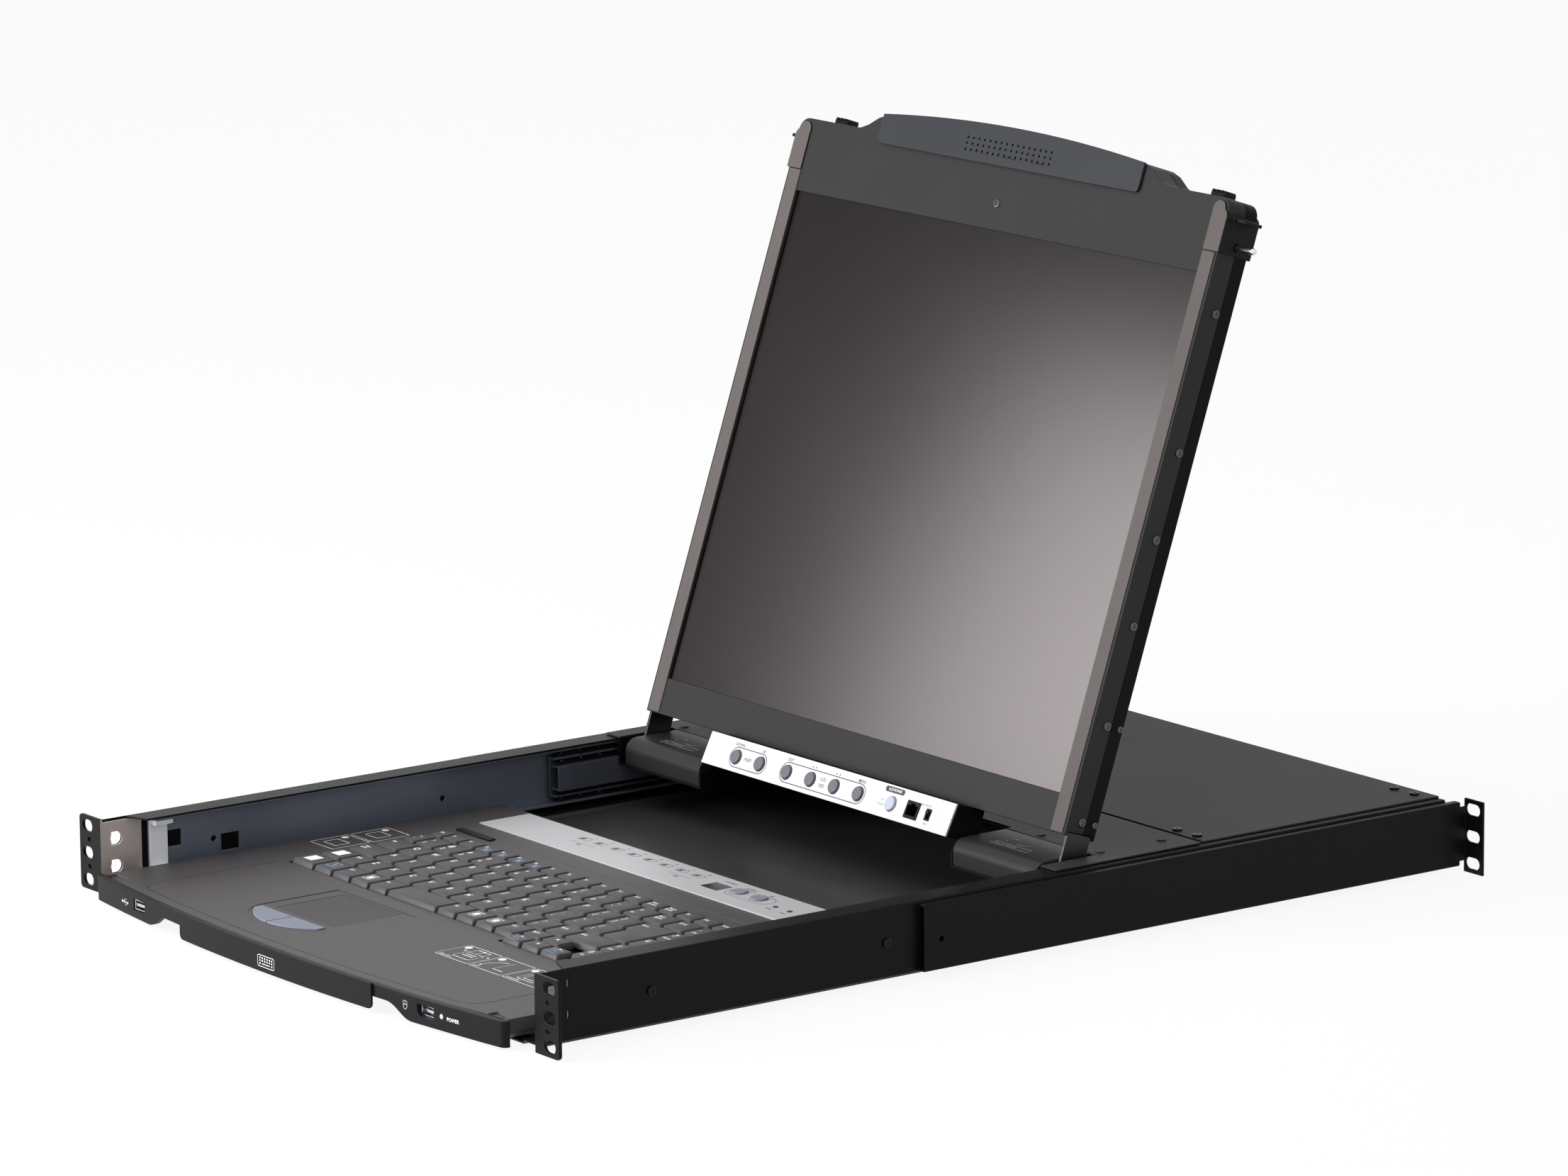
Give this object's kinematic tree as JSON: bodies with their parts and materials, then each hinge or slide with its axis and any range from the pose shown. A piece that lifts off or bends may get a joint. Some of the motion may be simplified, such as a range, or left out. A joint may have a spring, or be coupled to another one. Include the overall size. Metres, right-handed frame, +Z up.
{
  "type": "rackmount lcd console drawer",
  "caption": "One-unit rack drawer with a sliding keyboard tray, a sliding carriage carrying a fold-down screen on two hinge arms, and rear brackets that slide to the rack depth.",
  "frame": {"origin": "middle of the front ears' slots, on the face that lies against the front rack posts", "axes": "+X to the right facing the unit, +Y to the rear of the rack, +Z up"},
  "size_m": [0.4826, 0.6748, 0.4217],
  "materials": {
    "black_paint": "semi-gloss black powder paint",
    "zinc": "zinc plated, satin",
    "steel": "satin",
    "bright_steel": "polished",
    "black_plastic": "fine texture",
    "grey_plastic": "fine texture",
    "key_plastic": "fine texture",
    "light_plastic": "satin",
    "white_plastic": "satin",
    "silver_face": "satin",
    "screen_glass": "glossy dark",
    "board_green": "satin",
    "screw_steel": "satin",
    "clear_dark": "glossy"
  },
  "bodies": {
    "chassis": {"side_channels": "black_paint", "front_ears": "black_paint", "bottom_pan": "black_paint", "slide_outers": "zinc", "slide_bumpers": "light_plastic", "keyboard_rails": "zinc", "rear_box": "black_paint", "rear_lid": "black_paint", "rear_sockets": "board_green", "chassis_screws": "screw_steel"},
    "bracket_left": {"rear_bracket_left": "black_paint"},
    "bracket_right": {"rear_bracket_right": "black_paint"},
    "middles": {"slide_middles": "zinc", "ball_cages": "bright_steel"},
    "tray_middles": {"keyboard_middles": "zinc"},
    "carriage": {"slide_inners": "zinc", "carriage_tray": "black_paint", "carriage_lid": "black_paint", "hinge_covers": "black_paint", "hinge_mounts": "steel"},
    "head": {"head_front": "black_paint", "head_rear": "black_paint", "screen": "screen_glass", "lcd_module": "board_green", "side_strips": "light_plastic", "corner_caps": "black_paint", "head_handle": "grey_plastic", "hinge_arms": "steel", "head_screws": "screw_steel", "panel_box": "black_paint", "panel_face": "white_plastic", "panel_jack": "black_plastic"},
    "keyboard": {"tray_pan": "black_paint", "tray_top": "grey_plastic", "front_bezel": "grey_plastic", "strip_face": "silver_face", "strip_lamps": "clear_dark", "key_plate": "grey_plastic", "touchpad": "grey_plastic", "usb_ports": "bright_steel", "tray_runners": "zinc"},
    "button_menu": {"button_menu": "key_plastic"},
    "button_menu_exit": {"button_menu_exit": "key_plastic"},
    "button_menu_left": {"button_menu_left": "key_plastic"},
    "button_menu_right": {"button_menu_right": "key_plastic"},
    "button_port_down": {"button_port_down": "key_plastic"},
    "button_port_up": {"button_port_up": "key_plastic"},
    "button_screen_power": {"button_screen_power": "light_plastic"},
    "keys_function_row": {"keys_function_row": "key_plastic"},
    "keys_home_row": {"keys_home_row": "key_plastic"},
    "keys_number_row": {"keys_number_row": "key_plastic"},
    "keys_shift_row": {"keys_shift_row": "key_plastic"},
    "keys_space_row": {"keys_space_row": "key_plastic"},
    "keys_tab_row": {"keys_tab_row": "key_plastic"},
    "latch_left": {"latch_left": "bright_steel"},
    "latch_right": {"latch_right": "bright_steel"},
    "strip_button_left": {"strip_button_left": "key_plastic"},
    "strip_button_right": {"strip_button_right": "key_plastic"},
    "touch_button_left": {"touch_button_left": "grey_plastic"},
    "touch_button_right": {"touch_button_right": "grey_plastic"}
  },
  "joints": [
    {"name": "keyboard_slide", "type": "slide", "parent": "chassis", "child": "keyboard", "axis": [0, -1, 0], "range_m": [0, 0.38]},
    {"name": "keyboard_middle_slide", "type": "slide", "parent": "chassis", "child": "tray_middles", "axis": [0, -1, 0], "range_m": [0, 0.19]},
    {"name": "screen_slide", "type": "slide", "parent": "chassis", "child": "carriage", "axis": [0, -1, 0], "range_m": [0, 0.38]},
    {"name": "screen_middle_slide", "type": "slide", "parent": "chassis", "child": "middles", "axis": [0, -1, 0], "range_m": [0, 0.19]},
    {"name": "screen_tilt", "type": "hinge", "parent": "carriage", "child": "head", "pos_m": [0, 0.376, 0.01], "axis": [1, 0, 0], "range_deg": [-11, 109]},
    {"name": "bracket_slide_left", "type": "slide", "parent": "chassis", "child": "bracket_left", "axis": [0, 1, 0], "range_m": [-0.1, 0.08]},
    {"name": "bracket_slide_right", "type": "slide", "parent": "chassis", "child": "bracket_right", "axis": [0, 1, 0], "range_m": [-0.1, 0.08]},
    {"name": "latch_pull_left", "type": "slide", "parent": "head", "child": "latch_left", "axis": [1, 0, 0], "range_m": [-0.0015, 0.014], "stiffness_N_per_m": 120},
    {"name": "latch_pull_right", "type": "slide", "parent": "head", "child": "latch_right", "axis": [-1, 0, 0], "range_m": [-0.0015, 0.014], "stiffness_N_per_m": 120},
    {"name": "button_menu_press", "type": "slide", "parent": "head", "child": "button_menu", "axis": [0, 0.8965, -0.4431], "range_m": [0, 0.0012], "stiffness_N_per_m": 400},
    {"name": "button_menu_exit_press", "type": "slide", "parent": "head", "child": "button_menu_exit", "axis": [0, 0.8965, -0.4431], "range_m": [0, 0.0012], "stiffness_N_per_m": 400},
    {"name": "button_menu_left_press", "type": "slide", "parent": "head", "child": "button_menu_left", "axis": [0, 0.8965, -0.4431], "range_m": [0, 0.0012], "stiffness_N_per_m": 400},
    {"name": "button_menu_right_press", "type": "slide", "parent": "head", "child": "button_menu_right", "axis": [0, 0.8965, -0.4431], "range_m": [0, 0.0012], "stiffness_N_per_m": 400},
    {"name": "button_port_down_press", "type": "slide", "parent": "head", "child": "button_port_down", "axis": [0, 0.8965, -0.4431], "range_m": [0, 0.0012], "stiffness_N_per_m": 400},
    {"name": "button_port_up_press", "type": "slide", "parent": "head", "child": "button_port_up", "axis": [0, 0.8965, -0.4431], "range_m": [0, 0.0012], "stiffness_N_per_m": 400},
    {"name": "button_screen_power_press", "type": "slide", "parent": "head", "child": "button_screen_power", "axis": [0, 0.8965, -0.4431], "range_m": [0, 0.0012], "stiffness_N_per_m": 400},
    {"name": "keys_function_row_press", "type": "slide", "parent": "keyboard", "child": "keys_function_row", "axis": [0, 0, -1], "range_m": [0, 0.002], "stiffness_N_per_m": 600},
    {"name": "keys_home_row_press", "type": "slide", "parent": "keyboard", "child": "keys_home_row", "axis": [0, 0, -1], "range_m": [0, 0.002], "stiffness_N_per_m": 600},
    {"name": "keys_number_row_press", "type": "slide", "parent": "keyboard", "child": "keys_number_row", "axis": [0, 0, -1], "range_m": [0, 0.002], "stiffness_N_per_m": 600},
    {"name": "keys_shift_row_press", "type": "slide", "parent": "keyboard", "child": "keys_shift_row", "axis": [0, 0, -1], "range_m": [0, 0.002], "stiffness_N_per_m": 600},
    {"name": "keys_space_row_press", "type": "slide", "parent": "keyboard", "child": "keys_space_row", "axis": [0, 0, -1], "range_m": [0, 0.002], "stiffness_N_per_m": 600},
    {"name": "keys_tab_row_press", "type": "slide", "parent": "keyboard", "child": "keys_tab_row", "axis": [0, 0, -1], "range_m": [0, 0.002], "stiffness_N_per_m": 600},
    {"name": "strip_button_left_press", "type": "slide", "parent": "keyboard", "child": "strip_button_left", "axis": [0, 0, -1], "range_m": [0, 0.001], "stiffness_N_per_m": 400},
    {"name": "strip_button_right_press", "type": "slide", "parent": "keyboard", "child": "strip_button_right", "axis": [0, 0, -1], "range_m": [0, 0.001], "stiffness_N_per_m": 400},
    {"name": "touch_button_left_press", "type": "slide", "parent": "keyboard", "child": "touch_button_left", "axis": [0, 0, -1], "range_m": [0, 0.0008], "stiffness_N_per_m": 500},
    {"name": "touch_button_right_press", "type": "slide", "parent": "keyboard", "child": "touch_button_right", "axis": [0, 0, -1], "range_m": [0, 0.0008], "stiffness_N_per_m": 500}
  ],
  "couplings": [
    {"joint": "screen_middle_slide", "follows": "screen_slide", "ratio": 0.5},
    {"joint": "keyboard_middle_slide", "follows": "keyboard_slide", "ratio": 0.5}
  ]
}
